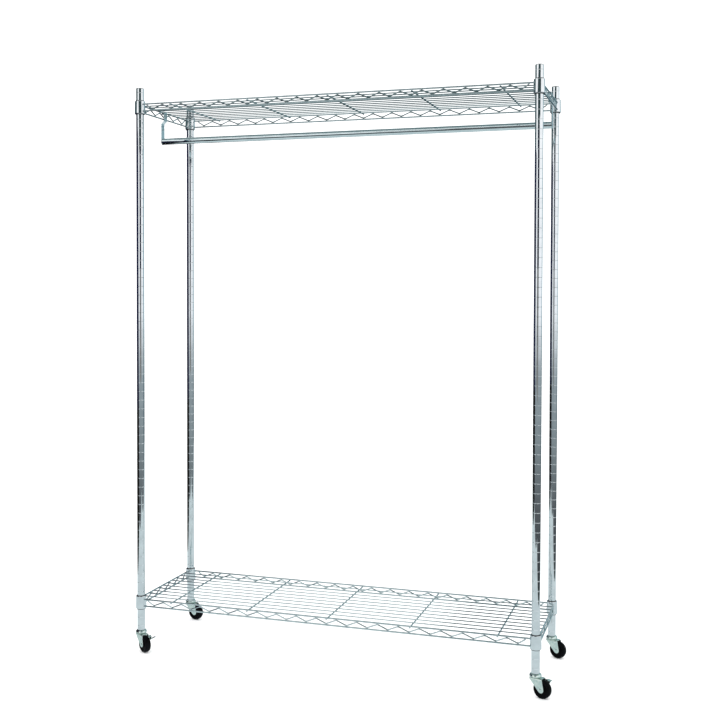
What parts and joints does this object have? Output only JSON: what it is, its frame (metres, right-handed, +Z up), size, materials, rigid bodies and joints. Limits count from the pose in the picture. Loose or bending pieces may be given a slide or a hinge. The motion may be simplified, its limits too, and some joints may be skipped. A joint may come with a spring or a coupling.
{
  "type": "rolling garment rack",
  "caption": "Tall chrome wire rack on swivel casters: slim grooved posts, an open wire shelf at top and bottom, and a garment hanging rod under the top shelf.",
  "frame": {"origin": "on the floor, under the middle point between the four post axes", "axes": "+X along the width from the left end to the right, +Y from the front to the back, +Z up along the posts"},
  "size_m": [1.2129, 0.3659, 1.6401],
  "materials": {
    "chrome": "bright chrome plate on steel",
    "zinc": "satin zinc plate on pressed steel",
    "sleeve_plastic": "moulded black",
    "cap_plastic": "moulded black",
    "socket_plastic": "moulded dark grey",
    "wheel_rubber": "smooth black tread"
  },
  "bodies": {
    "frame": {"post_upper_front_left": "chrome", "post_lower_front_left": "chrome", "post_joint_stud_front_left": "zinc", "post_cap_front_left": "cap_plastic", "post_socket_front_left": "socket_plastic", "post_upper_front_right": "chrome", "post_lower_front_right": "chrome", "post_joint_stud_front_right": "zinc", "post_cap_front_right": "cap_plastic", "post_socket_front_right": "socket_plastic", "post_upper_back_left": "chrome", "post_lower_back_left": "chrome", "post_joint_stud_back_left": "zinc", "post_cap_back_left": "cap_plastic", "post_socket_back_left": "socket_plastic", "post_upper_back_right": "chrome", "post_lower_back_right": "chrome", "post_joint_stud_back_right": "zinc", "post_cap_back_right": "cap_plastic", "post_socket_back_right": "socket_plastic", "top_shelf": "chrome", "bottom_shelf": "chrome", "sleeve_top_front_left_front_half": "sleeve_plastic", "sleeve_top_front_left_back_half": "sleeve_plastic", "sleeve_top_front_right_front_half": "sleeve_plastic", "sleeve_top_front_right_back_half": "sleeve_plastic", "sleeve_top_back_left_front_half": "sleeve_plastic", "sleeve_top_back_left_back_half": "sleeve_plastic", "sleeve_top_back_right_front_half": "sleeve_plastic", "sleeve_top_back_right_back_half": "sleeve_plastic", "sleeve_bottom_front_left_front_half": "sleeve_plastic", "sleeve_bottom_front_left_back_half": "sleeve_plastic", "sleeve_bottom_front_right_front_half": "sleeve_plastic", "sleeve_bottom_front_right_back_half": "sleeve_plastic", "sleeve_bottom_back_left_front_half": "sleeve_plastic", "sleeve_bottom_back_left_back_half": "sleeve_plastic", "sleeve_bottom_back_right_front_half": "sleeve_plastic", "sleeve_bottom_back_right_back_half": "sleeve_plastic", "hanging_rod": "chrome", "rod_hanger_left": "chrome", "rod_hanger_right": "chrome", "caster_stem_front_left": "zinc", "caster_stem_front_right": "zinc", "caster_stem_back_left": "zinc", "caster_stem_back_right": "zinc"},
    "swivel_front_left": {"caster_fork_front_left": "zinc", "wheel_axle_front_left": "zinc"},
    "wheel_front_left": {"wheel_front_left": "wheel_rubber"},
    "brake_front_left": {"brake_lever_front_left": "zinc"},
    "swivel_front_right": {"caster_fork_front_right": "zinc", "wheel_axle_front_right": "zinc"},
    "wheel_front_right": {"wheel_front_right": "wheel_rubber"},
    "brake_front_right": {"brake_lever_front_right": "zinc"},
    "swivel_back_left": {"caster_fork_back_left": "zinc", "wheel_axle_back_left": "zinc"},
    "wheel_back_left": {"wheel_back_left": "wheel_rubber"},
    "swivel_back_right": {"caster_fork_back_right": "zinc", "wheel_axle_back_right": "zinc"},
    "wheel_back_right": {"wheel_back_right": "wheel_rubber"}
  },
  "joints": [
    {"name": "swivel_front_left", "type": "hinge", "parent": "frame", "child": "swivel_front_left", "pos_m": [-0.576, -0.16, 0.055], "axis": [0, 0, 1], "continuous": true},
    {"name": "wheel_spin_front_left", "type": "hinge", "parent": "swivel_front_left", "child": "wheel_front_left", "pos_m": [-0.55861, -0.17086, 0.0245], "axis": [0.5299, 0.848, 0], "continuous": true},
    {"name": "brake_front_left", "type": "hinge", "parent": "swivel_front_left", "child": "brake_front_left", "pos_m": [-0.55321, -0.15938, 0.042], "axis": [0.5299, 0.848, 0], "range_deg": [0, 10]},
    {"name": "swivel_front_right", "type": "hinge", "parent": "frame", "child": "swivel_front_right", "pos_m": [0.576, -0.16, 0.055], "axis": [0, 0, 1], "continuous": true},
    {"name": "wheel_spin_front_right", "type": "hinge", "parent": "swivel_front_right", "child": "wheel_front_right", "pos_m": [0.59538, -0.16667, 0.0245], "axis": [0.3256, 0.9455, 0], "continuous": true},
    {"name": "brake_front_right", "type": "hinge", "parent": "swivel_front_right", "child": "brake_front_right", "pos_m": [0.59807, -0.15427, 0.042], "axis": [0.3256, 0.9455, 0], "range_deg": [0, 10]},
    {"name": "swivel_back_left", "type": "hinge", "parent": "frame", "child": "swivel_back_left", "pos_m": [-0.576, 0.16, 0.055], "axis": [0, 0, 1], "continuous": true},
    {"name": "wheel_spin_back_left", "type": "hinge", "parent": "swivel_back_left", "child": "wheel_back_left", "pos_m": [-0.55575, 0.15679, 0.0245], "axis": [0.1564, 0.9877, 0], "continuous": true},
    {"name": "swivel_back_right", "type": "hinge", "parent": "frame", "child": "swivel_back_right", "pos_m": [0.576, 0.16, 0.055], "axis": [0, 0, 1], "continuous": true},
    {"name": "wheel_spin_back_right", "type": "hinge", "parent": "swivel_back_right", "child": "wheel_back_right", "pos_m": [0.59526, 0.15299, 0.0245], "axis": [0.342, 0.9397, 0], "continuous": true}
  ]
}
